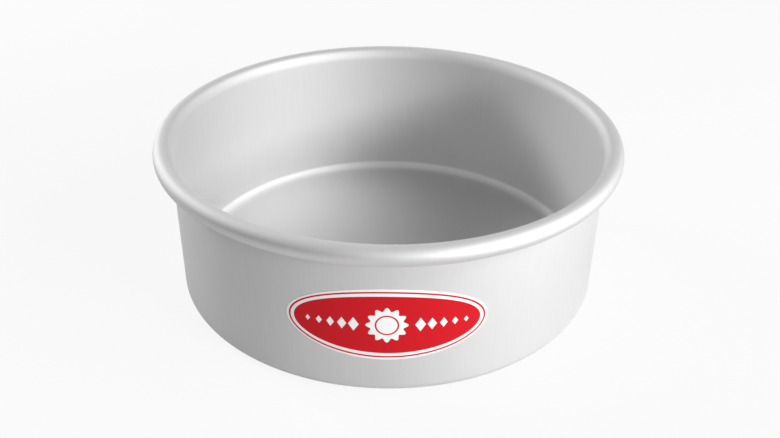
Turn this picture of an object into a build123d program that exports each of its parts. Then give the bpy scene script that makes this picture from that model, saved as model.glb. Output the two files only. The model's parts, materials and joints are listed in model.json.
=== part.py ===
from build123d import *
import os
from math import acos, degrees, sin

# Round cake tin: a straight-sided aluminium pan with a rolled rim, and the oval label on its wall.
# The pan is one sheet of aluminium, drawn into a flat-bottomed cup and rolled outwards at its mouth.
# Millimetres, +Z up. The origin is the middle of the underside, and the label faces -Y.

# Sizes of the pan
inner_diameter = 203.2       # inside the wall: a nominal 8 inch tin
overall_height = 76.2        # underside to the top of the rim: nominal 3 inch
sheet_thickness = 1.0        # one gauge of sheet in floor, wall and rim
corner_radius = 3.5          # inside the corner where the floor turns up into the wall
rim_roll_diameter = 8.8      # outside the rolled rim
rim_roll_gap = 0.5           # between the sheet's rolled-under edge and the wall

# Sizes of the label
label_width = 85.0           # laid flat, so measured round the wall
label_height = 35.4
label_centre_height = 36.0   # above the underside
label_thickness = 0.15

inner_radius = inner_diameter / 2
outer_radius = inner_radius + sheet_thickness
outer_corner_radius = corner_radius + sheet_thickness
rim_roll_radius = rim_roll_diameter / 2

# The rim turns past a half circle over the mouth and then back under itself. It stops where the
# sheet's edge comes within the gap of the wall, which gives the angle that it turns through.
edge_reach = rim_roll_radius - sheet_thickness - rim_roll_gap
rim_roll_turn = 180 + degrees(acos(-edge_reach / rim_roll_radius))

# Pan: half of the sheet's section. It follows the inner face from the middle of the floor out to
# the rolled-under edge, turns across the edge, and comes back along the outer face one gauge away.
with BuildPart() as pan_body:
    with BuildSketch(Plane.XZ) as sheet_section:
        with BuildLine() as sheet_outline:
            floor_top = Line((0, sheet_thickness), (inner_radius - corner_radius, sheet_thickness))
            corner_inside = JernArc(floor_top @ 1, floor_top % 1, corner_radius, 90)
            wall_inside = Line(corner_inside @ 1, (inner_radius, overall_height - rim_roll_radius))
            roll_outside = JernArc(wall_inside @ 1, wall_inside % 1, rim_roll_radius, -rim_roll_turn)
            sheet_edge = PolarLine(roll_outside @ 1, sheet_thickness, -rim_roll_turn)
            roll_inside = JernArc(
                sheet_edge @ 1, -(roll_outside % 1), rim_roll_radius - sheet_thickness, rim_roll_turn
            )
            wall_outside = Line(roll_inside @ 1, (outer_radius, outer_corner_radius))
            corner_outside = JernArc(wall_outside @ 1, wall_outside % 1, outer_corner_radius, -90)
            underside = Line(corner_outside @ 1, (0, 0))
            Line(underside @ 1, floor_top @ 0)
        make_face()
    revolve(axis=Axis.Z)
pan_body.part.label = "pan_body"

# Label: a ring of label stock against the wall, cut to the oval that is seen from the front.
# The oval's half width there is the chord of half the label's width bent round the wall.
label_half_chord = outer_radius * sin(label_width / 2 / outer_radius)

with BuildPart() as oval_label:
    with BuildSketch(Plane.XY):
        Circle(outer_radius + label_thickness)
        Circle(outer_radius, mode=Mode.SUBTRACT)
    extrude(amount=overall_height)
    with BuildSketch(Plane.XZ):
        with Locations((0, label_centre_height)):
            Ellipse(label_half_chord, label_height / 2)
    extrude(amount=inner_diameter, mode=Mode.INTERSECT)
oval_label.part.label = "oval_label"

os.makedirs("parts", exist_ok=True)
export_step(pan_body.part, "parts/pan_body.step")
export_step(oval_label.part, "parts/oval_label.step")
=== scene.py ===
import json
import math

import bpy
import numpy as np
from mathutils import Matrix, Vector


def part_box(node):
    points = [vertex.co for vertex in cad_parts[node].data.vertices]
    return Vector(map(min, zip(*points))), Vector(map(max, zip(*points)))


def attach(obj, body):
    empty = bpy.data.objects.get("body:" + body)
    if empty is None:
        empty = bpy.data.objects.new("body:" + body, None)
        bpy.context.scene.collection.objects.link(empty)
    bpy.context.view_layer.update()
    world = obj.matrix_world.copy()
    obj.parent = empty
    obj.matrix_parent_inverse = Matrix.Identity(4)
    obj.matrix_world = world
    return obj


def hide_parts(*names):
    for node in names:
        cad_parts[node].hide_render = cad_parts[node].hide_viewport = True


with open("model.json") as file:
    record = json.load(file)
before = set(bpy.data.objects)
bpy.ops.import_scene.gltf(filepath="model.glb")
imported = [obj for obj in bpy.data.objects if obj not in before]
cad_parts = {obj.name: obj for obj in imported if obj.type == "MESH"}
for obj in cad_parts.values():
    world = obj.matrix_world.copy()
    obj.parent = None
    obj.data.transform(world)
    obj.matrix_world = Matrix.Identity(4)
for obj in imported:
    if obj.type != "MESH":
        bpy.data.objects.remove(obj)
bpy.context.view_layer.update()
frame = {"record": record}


# Pan: one disc of 1 mm aluminium sheet, drawn into a flat-bottomed cup with no seam.
# Its mouth is rolled outwards and back under itself, so the cut edge ends beneath the rim.
# The whole pan is anodised last, which leaves an even, fine satin grey.
mounts = {mount["name"]: mount for mount in frame["record"]["mounts"]}
bore = mounts["cavity_wall"]
pan_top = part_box("pan_body")[1].z
inner_radius = bore["dims"]["r_mm"] / 1000
wall_foot = bore["pos_m"][2] - bore["dims"]["length_mm"] / 2000
wall_head = bore["pos_m"][2] + bore["dims"]["length_mm"] / 2000
sheet = mounts["floor_face"]["pos_m"][2]
outer_radius = inner_radius + sheet
corner_radius = wall_foot - sheet
bend_start = inner_radius - corner_radius
roll_radius = pan_top - wall_head
roll_gap = 0.0005
edge_rounding = 0.0002
flare_radius = 0.009
flare_turn = 30


def arc(centre, radius, start, end, steps):
    """Points round a centre at one radius, at even angles from start to end, in degrees."""
    turn = np.radians(np.linspace(start, end, steps + 1))
    return np.column_stack([centre[0] + radius * np.cos(turn), centre[1] + radius * np.sin(turn)])


def line(start, end, steps):
    """Points at even steps along a straight line, without its two ends."""
    share = np.linspace(0, 1, steps + 1)[1:-1, None]
    return (1 - share) * np.array(start) + share * np.array(end)


def ring_quads(rings, columns):
    """The numbers of a grid's points, those of the points beside them, and the faces between rings.

    Point j of ring i has the number i * columns + j, and the last point of a ring is beside its
    first. A face goes from point j to point j of the next ring, across, and back.
    """
    here = np.arange(rings * columns).reshape(rings, columns)
    beside = np.roll(here, -1, axis=1)
    quads = np.stack([here[:-1], here[1:], beside[1:], beside[:-1]], axis=2).reshape(-1, 4)
    return here, beside, quads


def placed(name, mesh):
    """An object at the origin that carries this mesh."""
    made = bpy.data.objects.new(name, mesh)
    bpy.context.scene.collection.objects.link(made)
    return made


def turned(name, profile, columns):
    """A closed surface turned about Z from a profile that begins and ends on the axis.

    The point of profile row i in column j is (r_i cos t_j, r_i sin t_j, z_i), where t_j is j
    equal parts of a full turn. The two ends on the axis are one point each.
    """
    rows = profile[1:-1]
    turn = 2 * np.pi * np.arange(columns) / columns
    grid = np.stack(
        [
            rows[:, :1] * np.cos(turn),
            rows[:, :1] * np.sin(turn),
            np.repeat(rows[:, 1:], columns, axis=1),
        ],
        axis=2,
    ).reshape(-1, 3)
    ends = np.array([[0, 0, profile[0, 1]], [0, 0, profile[-1, 1]]])
    here, beside, quads = ring_quads(len(rows), columns)
    first, last = len(grid), len(grid) + 1
    caps = np.concatenate(
        [
            np.column_stack([np.full(columns, first), here[0], beside[0]]),
            np.column_stack([np.full(columns, last), beside[-1], here[-1]]),
        ]
    )
    mesh = bpy.data.meshes.new(name)
    mesh.from_pydata(np.concatenate([grid, ends]).tolist(), [], quads.tolist() + caps.tolist())
    mesh.shade_smooth()
    mesh.update()
    return placed(name, mesh)


# The wall flares a little before the roll. The crest's radius is what brings the flare to the top of
# the roll. The rim then turns until the edge of the sheet is within the gap of the wall.
roll_centre = (inner_radius + roll_radius, wall_head)
roll_hollow = roll_radius - sheet
roll_end = -math.degrees(math.acos(-(roll_hollow - roll_gap) / roll_radius))
flare_end = 180 - flare_turn
flare_run, flare_rise = math.cos(math.radians(flare_turn)), math.sin(math.radians(flare_turn))
crest_radius = (roll_radius - flare_radius * (1 - flare_run)) / flare_run
crest_centre = (roll_centre[0], pan_top - crest_radius)
flare_head = crest_centre[1] - (flare_radius - crest_radius) * flare_rise
flare_centre = (inner_radius + flare_radius, flare_head)

# Both corners of the cut edge are rounded, so the roll's two faces stop a little short of it.
outer_stop = roll_end + math.degrees(math.asin(edge_rounding / (roll_radius - edge_rounding)))
inner_stop = roll_end + math.degrees(math.asin(edge_rounding / (roll_hollow + edge_rounding)))


def on_roll(radius, angle):
    """The point at this radius and angle round the middle of the rolled rim."""
    turn = math.radians(angle)
    return (roll_centre[0] + radius * math.cos(turn), roll_centre[1] + radius * math.sin(turn))


straight_steps, corner_steps, flare_steps, edge_steps = 12, 16, 12, 4
crest_steps, crest_hollow_steps = 18, 12
roll_steps, roll_hollow_steps = 52, 36
pan_columns = 384
inside_corner = (bend_start, wall_foot)
pan_profile = np.concatenate(
    [
        [(0, sheet)],
        line((0, sheet), (bend_start, sheet), straight_steps),
        arc(inside_corner, corner_radius, -90, 0, corner_steps),
        line((inner_radius, wall_foot), (inner_radius, flare_head), straight_steps),
        arc(flare_centre, flare_radius, 180, flare_end, flare_steps)[:-1],
        arc(crest_centre, crest_radius, flare_end, 90, crest_steps)[:-1],
        arc(roll_centre, roll_radius, 90, outer_stop, roll_steps),
        arc(on_roll(roll_radius - edge_rounding, outer_stop), edge_rounding,
            outer_stop, roll_end - 90, edge_steps)[1:],
        arc(on_roll(roll_hollow + edge_rounding, inner_stop), edge_rounding,
            roll_end - 90, inner_stop - 180, edge_steps),
        arc(roll_centre, roll_hollow, inner_stop, 90, roll_hollow_steps)[1:],
        arc(crest_centre, crest_radius - sheet, 90, flare_end, crest_hollow_steps)[1:],
        arc(flare_centre, flare_radius - sheet, flare_end, 180, flare_steps)[1:],
        line((outer_radius, flare_head), (outer_radius, wall_foot), straight_steps),
        arc(inside_corner, corner_radius + sheet, 0, -90, corner_steps),
        line((bend_start, 0), (0, 0), straight_steps),
        [(0, 0)],
    ]
)
pan_body = turned("pan_body_anodised", pan_profile, pan_columns)


class Part:
    """A shader socket that can be used in an expression, which adds one Math node an operator."""

    def __init__(self, tree, socket):
        self.tree, self.socket = tree, socket

    def node(self, kind, settings, sockets, output=0):
        """Adds any other node: its settings first, then its sockets' values or links."""
        made = self.tree.nodes.new("ShaderNode" + kind)
        for name, value in settings.items():
            setattr(made, name, value)
        inputs = [s for s in made.inputs if s.enabled]
        named = {s.name: s for s in reversed(inputs)}
        for name, value in sockets.items():
            target = inputs[name] if isinstance(name, int) else named[name]
            if isinstance(value, Part):
                self.tree.links.new(value.socket, target)
            else:
                target.default_value = value
        if not made.outputs:
            return None
        if isinstance(output, int):
            return Part(self.tree, [s for s in made.outputs if s.enabled][output])
        return Part(self.tree, made.outputs[output])

    def outputs(self, *names):
        """The outputs of these names on this socket's own node."""
        return [Part(self.tree, self.socket.node.outputs[name]) for name in names]

    def maths(self, operation, *values):
        """One Math node on these values."""
        return self.node("Math", {"operation": operation}, dict(enumerate(values)))

    def below_zero(self, width):
        """1 where this value is below zero, 0 above, with an even slope this wide between."""
        return self.node("Clamp", {}, {"Value": 0.5 - self / width})

    def __add__(self, other):
        return self.maths("ADD", self, other)

    def __sub__(self, other):
        return self.maths("SUBTRACT", self, other)

    def __mul__(self, other):
        return self.maths("MULTIPLY", self, other)

    def __truediv__(self, other):
        return self.maths("DIVIDE", self, other)

    def __radd__(self, other):
        return self.maths("ADD", other, self)

    def __rsub__(self, other):
        return self.maths("SUBTRACT", other, self)

    def __rmul__(self, other):
        return self.maths("MULTIPLY", other, self)

    def __rtruediv__(self, other):
        return self.maths("DIVIDE", other, self)


def root(value):
    """The square root of a value."""
    return value.maths("SQRT", value)


def larger(value, other):
    """The larger of two values."""
    return value.maths("MAXIMUM", value, other)


def new_material(name):
    """A material with no nodes yet, and the Part that its nodes are added from."""
    material = bpy.data.materials.new(name)
    material.use_nodes = True
    material.node_tree.nodes.clear()
    return material, Part(material.node_tree, None)


# Anodised aluminium. Its etched surface has a fine even grain. The sheet keeps the faint straight
# lines of the rolling mill, and the wall the upright lines of the draw. The floor isn't stretched, so
# it stays smoother, and the rolling tool smoothed the outside of the rim a little. Inside the bend a
# lighter grey is painted in as a ring: a painted highlight along the inner corner.
metal_grey, bend_highlight_grey = 0.75, 0.89
metal_roughness, floor_roughness, roll_roughness = 0.75, 0.55, 0.64
grain_scale, cloud_scale, rolling_scale, draw_scale = 3200, 55, 1400, 1100
all_ways, along_floor, up_wall = (1, 1, 1), (1, 0.03, 0.03), (1, 1, 0.03)
grey_of_lines, grey_of_grain, grey_of_cloud = 0.03, 0.03, 0.02
roughness_of_grain, roughness_of_cloud = 0.06, 0.03
etch_strength, etch_depth = 0.12, 0.00002

# Each part of the finish, and the painted highlight inside the bend, fades out over a width, in metres,
# about a line that these give: how far in from the bend's start, below or above the wall's foot, and
# above the roll's middle.
ring_in, ring_in_fade = 0.0008, 0.004
ring_below, ring_below_fade = 0.0004, 0.0012
ring_depth_fade = 0.0002
flat_fade = 0.002
draw_above, draw_fade = 0.00035, 0.0007
rolled_above, rolled_above_fade, rolled_out_fade = 0.0022, 0.0017, 0.001

aluminium, start = new_material("anodised_sheet")
place = start.node("TexCoord", {}, {}, "Object")
x, y, z = start.node("SeparateXYZ", {}, {"Vector": place}).outputs("X", "Y", "Z")
out_from_axis = root(x * x + y * y)
past_start, under_foot = out_from_axis - bend_start, wall_foot - z
past_start_only, under_foot_only = larger(past_start, 0), larger(under_foot, 0)
from_bend_axis = root(past_start_only * past_start_only + under_foot_only * under_foot_only)
# Painted highlight: a lighter ring on the inside of the bend, where the corner's highlight falls.
bend_highlight = (
    (-ring_in - past_start).below_zero(ring_in_fade)
    * (ring_below - under_foot).below_zero(ring_below_fade)
    * (from_bend_axis - corner_radius - sheet / 2).below_zero(ring_depth_fade)
)
flat = past_start.below_zero(flat_fade) * (1 - bend_highlight)
rolled = (roll_centre[0] - out_from_axis).below_zero(rolled_out_fade) * (
    z - wall_head - rolled_above).below_zero(rolled_above_fade)


def stretched_noise(scale, shares):
    """Noise from -0.5 to 0.5 whose grains are drawn out along the axes with a small share."""
    stretched = start.node("VectorMath", {"operation": "MULTIPLY"}, {0: place, 1: shares})
    return start.node("TexNoise", {}, {"Vector": stretched, "Scale": scale, "Detail": 2}) - 0.5


grain = stretched_noise(grain_scale, all_ways)
cloud = stretched_noise(cloud_scale, all_ways)
rolling_lines = stretched_noise(rolling_scale, along_floor)
draw_lines = stretched_noise(draw_scale, up_wall) * (draw_above + under_foot).below_zero(draw_fade)
lines = rolling_lines + draw_lines
marks = 1 + grey_of_lines * lines + grey_of_grain * grain + grey_of_cloud * cloud
# The grey is lighter inside the bend: a painted highlight along the inner corner.
grey = (metal_grey + (bend_highlight_grey - metal_grey) * bend_highlight) * marks
smoothed = (metal_roughness - floor_roughness) * flat + (metal_roughness - roll_roughness) * rolled
roughness = metal_roughness - smoothed + roughness_of_grain * grain + roughness_of_cloud * cloud
etch = start.node("Bump", {}, {
    "Strength": etch_strength, "Distance": etch_depth, "Height": grain + lines})
shine = start.node("BsdfPrincipled", {}, {
    "Base Color": grey, "Metallic": 1.0, "Roughness": roughness, "Normal": etch})
start.node("OutputMaterial", {}, {"Surface": shine})
pan_body.data.materials.append(aluminium)

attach(pan_body, "root")
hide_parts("pan_body")


# Label: an oval of thin printed film, stuck to the front of the wall with its own adhesive.
# It bends with the wall, so its print is laid out flat, in millimetres from its middle.
label_low, label_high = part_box("oval_label")
label_radius = -label_low.y
label_middle = (label_low.z + label_high.z) / 2
label_half_height = (label_high.z - label_low.z) / 2
label_half_chord = label_high.x
label_half_width = outer_radius * math.asin(label_half_chord / label_radius)
label_rings, label_columns = 24, 192
film_edge_angle = math.radians(40)


def wrapped_oval(name, rings, columns, inside, outside):
    """An oval shell between two radii on the wall, from a grid of rings round its middle.

    Ring k of n reaches the share k / n of the way out, and its point in column j lies at
    (a cos t_j, b sin t_j) times that share, seen from the front. The first of the two is turned
    into an angle q by its sine at the outside radius, and the point of a face at radius R is
    (R sin q, -R cos q, middle + the second). The print map holds the wall's radius times q, and
    the second, in millimetres.
    """
    share = np.linspace(0, 1, rings + 1)[1:]
    turn = 2 * np.pi * np.arange(columns) / columns
    across = np.outer(share, np.cos(turn)) * label_half_chord
    up = np.outer(share, np.sin(turn)) * label_half_height
    angle = np.arcsin(np.clip(across / outside, -1, 1))

    def face(radius):
        """One face of the film, at this radius."""
        return np.stack([radius * np.sin(angle), -radius * np.cos(angle), label_middle + up], axis=2)

    front, back = face(outside).reshape(-1, 3), face(inside).reshape(-1, 3)
    flat = np.stack([outer_radius * angle, up], axis=2).reshape(-1, 2) * 1000
    middles = np.array([[0, -outside, label_middle], [0, -inside, label_middle]])
    points = np.concatenate([front, back, middles])
    flat_points = np.concatenate([flat, flat, [[0, 0], [0, 0]]])
    here, beside, front_quads = ring_quads(rings, columns)
    behind = rings * columns
    back_quads = front_quads[:, [0, 3, 2, 1]] + behind
    edge_quads = np.column_stack([here[-1], here[-1] + behind, beside[-1] + behind, beside[-1]])
    front_fan = np.column_stack([np.full(columns, 2 * behind), here[0], beside[0]])
    back_fan = np.column_stack([np.full(columns, 2 * behind + 1), beside[0] + behind, here[0] + behind])
    faces = np.concatenate([front_quads, back_quads, edge_quads]).tolist()
    faces += np.concatenate([front_fan, back_fan]).tolist()
    mesh = bpy.data.meshes.new(name)
    mesh.from_pydata(points.tolist(), [], faces)
    print_map = mesh.uv_layers.new(name="print_mm")
    corners = np.zeros(len(mesh.loops), int)
    mesh.loops.foreach_get("vertex_index", corners)
    print_map.data.foreach_set("uv", flat_points[corners].ravel())
    mesh.shade_smooth()
    mesh.set_sharp_from_angle(angle=film_edge_angle)
    return placed(name, mesh)


oval_label = wrapped_oval("oval_label_film", label_rings, label_columns, outer_radius, label_radius)

# The print is a plain generic ornament: a thin red line inside the film's white edge, then an oval
# red field with a rosette in the middle and a row of lozenges that get smaller towards each end.
# Its sizes are in millimetres on the flat film.
label_white = (0.92, 0.92, 0.92, 1)
label_red = (0.60, 0.004, 0.012, 1)
half_width_mm = label_half_width * 1000
half_height_mm = label_half_height * 1000
print_softness = 0.08
line_inset, line_half_width = 1.5, 0.4
field_inset = 3.4
petals_radius, petal_rise, petal_count = 7.8, 0.9, 12
ring_radius, ring_half_width = 4.6, 0.35
lozenges_each_side = 5
lozenge_first, lozenge_pitch = 13.6, 4.8
lozenge_half_width, lozenge_half_width_drop = 2.2, 0.3
lozenge_half_height, lozenge_half_height_drop = 3.4, 0.5
film_roughness, film_roughness_of_grain, film_grain_scale, film_specular = 0.55, 0.04, 1.5, 0.2
above_nothing = 1e-9

film, start = new_material("label_film")
flat_place = start.node("UVMap", {"uv_map": "print_mm"}, {})
u, v = start.node("SeparateXYZ", {}, {"Vector": flat_place}).outputs("X", "Y")


def inked(distance):
    """Ink where this distance in millimetres is below zero."""
    return distance.below_zero(print_softness)


def size_of(value):
    """A value without its sign."""
    return value.maths("ABSOLUTE", value)


def from_oval(inset):
    """How far outside an oval, drawn this far inside the film's edge, each point lies.

    With half axes a and b, a point's level L is the root of u^2 / a^2 + v^2 / b^2. The distance is
    (L - 1) times L, over the root of u^2 / a^4 + v^2 / b^4, which is true close to the oval.
    """
    a, b = half_width_mm - inset, half_height_mm - inset
    level = root(u * u / a**2 + v * v / b**2)
    return (level - 1) * level / root(u * u / a**4 + v * v / b**4 + above_nothing)


def lozenge(middle, half_width, half_height):
    """How far outside a lozenge on the label's middle line each point lies.

    Its level is |u - middle| / half width + |v| / half height, and the distance is the level less 1,
    times the smaller half size.
    """
    level = size_of(u - middle) / half_width + size_of(v) / half_height
    return (level - 1) * min(half_width, half_height)


outline = inked(size_of(from_oval(line_inset)) - line_half_width)
field = inked(from_oval(field_inset))
turn_round = u.maths("ARCTAN2", v, u)
from_middle = root(u * u + v * v)
petal_wave = u.maths("COSINE", turn_round * petal_count)
petals = inked(from_middle - petals_radius - petal_rise * petal_wave)
ring = inked(size_of(from_middle - ring_radius) - ring_half_width)
white = petals - ring
for step in range(lozenges_each_side):
    out = lozenge_first + lozenge_pitch * step
    half_width = lozenge_half_width - lozenge_half_width_drop * step
    half_height = lozenge_half_height - lozenge_half_height_drop * step
    for side in (-1, 1):
        white = larger(white, inked(lozenge(side * out, half_width, half_height)))
ink = outline + field * (1 - white)
colour = start.node("Mix", {"data_type": "RGBA"}, {"Factor": ink, "A": label_white, "B": label_red})
film_grain = start.node("TexNoise", {}, {"Vector": flat_place, "Scale": film_grain_scale, "Detail": 3})
film_shader = start.node("BsdfPrincipled", {}, {
    "Base Color": colour,
    "Roughness": film_roughness + film_roughness_of_grain * (film_grain - 0.5),
    "Specular IOR Level": film_specular,
})
start.node("OutputMaterial", {}, {"Surface": film_shader})
oval_label.data.materials.append(film)

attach(oval_label, "root")
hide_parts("oval_label")


# Floor: a wide sheet of white studio paper, level with the pan's underside. It is near white to the
# camera and keeps the pan's shadow, and the metal mirrors it as lit paper with a little glow.
floor_reach = 6.0
paper_grey = 0.65
paper_glow_seen = 0.88
paper_glow_reflected = 0.1


def flat_sheet(name, corners):
    """One four-cornered face, through corners given in order round its edge."""
    mesh = bpy.data.meshes.new(name)
    mesh.from_pydata(corners, [], [(0, 1, 2, 3)])
    return placed(name, mesh)


def kinds_of_ray(start):
    """Three values, each 1 for its own kind of ray: from the camera, mirrored, and through glass."""
    kinds = "Is Camera Ray", "Is Glossy Ray", "Is Transmission Ray"
    return start.node("LightPath", {}, {}).outputs(*kinds)


studio_floor = flat_sheet("studio_floor", [
    (-floor_reach, -floor_reach, 0), (floor_reach, -floor_reach, 0),
    (floor_reach, floor_reach, 0), (-floor_reach, floor_reach, 0)])
paper, start = new_material("studio_paper")
seen, mirrored, through = kinds_of_ray(start)
glow = seen * paper_glow_seen + mirrored * paper_glow_reflected + through * paper_glow_reflected
paper_matt = start.node("BsdfDiffuse", {}, {"Color": (paper_grey, paper_grey, paper_grey, 1)})
paper_white = start.node("Emission", {}, {"Color": (1, 1, 1, 1), "Strength": 1.0})
paper_shader = start.node("MixShader", {}, {0: glow, 1: paper_matt, 2: paper_white})
start.node("OutputMaterial", {}, {"Surface": paper_shader})
paper.cycles.emission_sampling = "NONE"
studio_floor.data.materials.append(paper)


# Surroundings: white where the camera sees them. The satin metal mirrors every side at once, so in its
# reflections, and as light, they stay at the level of studio walls that no lamp points at.
surroundings_mirrored = 0.25
surroundings_light = 0.25
world = bpy.data.worlds.new("studio")
world.use_nodes = True
world.node_tree.nodes.clear()
bpy.context.scene.world = world
start = Part(world.node_tree, None)
seen, mirrored, through = kinds_of_ray(start)
rest = 1 - seen - mirrored - through
level = seen + through + mirrored * surroundings_mirrored + rest * surroundings_light
backdrop = start.node("Background", {}, {"Color": (1, 1, 1, 1), "Strength": level})
start.node("OutputWorld", {}, {"Surface": backdrop})


# Lamps: large soft boxes round the tin, each facing it. Each line gives a name, the side it stands on
# and its height in degrees, its width in metres and its power in watts. Side 0 is the front, and the
# sides are counted towards the right.
lamps = [
    ("key_right_front", 50, 20, 0.5, 18.2),
    ("upper_right", 80, 38, 0.5, 6.2),
    ("upper_right_front", 60, 38, 0.5, 1.9),
    ("left_back", 240, 26, 0.5, 12.0),
    ("back", 180, 31, 0.5, 1.5),
]
lamp_distance = 1.5
lamp_tallness = 0.3
for name, azimuth, elevation, width, watts in lamps:
    side, height = math.radians(azimuth), math.radians(elevation)
    lamp = bpy.data.lights.new(name, "AREA")
    lamp.shape, lamp.size, lamp.size_y, lamp.energy = "RECTANGLE", width, lamp_tallness, watts
    stand = bpy.data.objects.new(name, lamp)
    stand.location = lamp_distance * Vector((
        math.sin(side) * math.cos(height), -math.cos(side) * math.cos(height), math.sin(height)))
    stand.rotation_euler = stand.location.to_track_quat("Z", "Y").to_euler()
    stand.visible_camera = False
    bpy.context.scene.collection.objects.link(stand)


# Dark card: a matt screen that stands out of the picture at the tin's front left. The metal mirrors it
# as the band of shade along the rim. It throws no shadow, and the camera doesn't see it.
card_side = math.radians(292)
card_distance, card_half_width = 0.4, 0.3
card_low, card_high = 0.05, 0.19
card_black = (0.02, 0.02, 0.02, 1)
card_middle = np.array([math.sin(card_side), -math.cos(card_side)]) * card_distance
card_across = np.array([math.cos(card_side), math.sin(card_side)]) * card_half_width
left, right = (card_middle - card_across).tolist(), (card_middle + card_across).tolist()
dark_card = flat_sheet("dark_card", [
    (*left, card_low), (*right, card_low), (*right, card_high), (*left, card_high)])
dark_card.visible_camera = dark_card.visible_diffuse = dark_card.visible_shadow = False
felt, start = new_material("black_felt")
felt_shader = start.node("BsdfDiffuse", {}, {"Color": card_black})
start.node("OutputMaterial", {}, {"Surface": felt_shader})
dark_card.data.materials.append(felt)


# Camera: in front and above, as the photograph was taken. The angles were fitted to the tin's own
# outlines, and the three small ones turn the camera from facing the middle of the tin.
camera_distance = 0.44996
camera_lens = 41.629
camera_nearest = 0.01
camera_elevation = math.radians(29.6218)
camera_pan, camera_tilt, camera_roll = map(math.radians, (-0.1495, -1.5373, 0.6309))
camera = bpy.data.objects.new("camera", bpy.data.cameras.new("camera"))
camera.data.lens = camera_lens
camera.data.clip_start = camera_nearest
camera.matrix_world = (
    Matrix.Translation((
        0,
        -camera_distance * math.cos(camera_elevation),
        camera_distance * math.sin(camera_elevation) + pan_top / 2,
    ))
    @ Matrix.Rotation(camera_pan, 4, "Z")
    @ Matrix.Rotation(math.radians(90) - camera_elevation + camera_tilt, 4, "X")
    @ Matrix.Rotation(camera_roll, 4, "Z")
)
bpy.context.scene.collection.objects.link(camera)
bpy.context.scene.camera = camera
bpy.context.scene.view_settings.view_transform = "Standard"
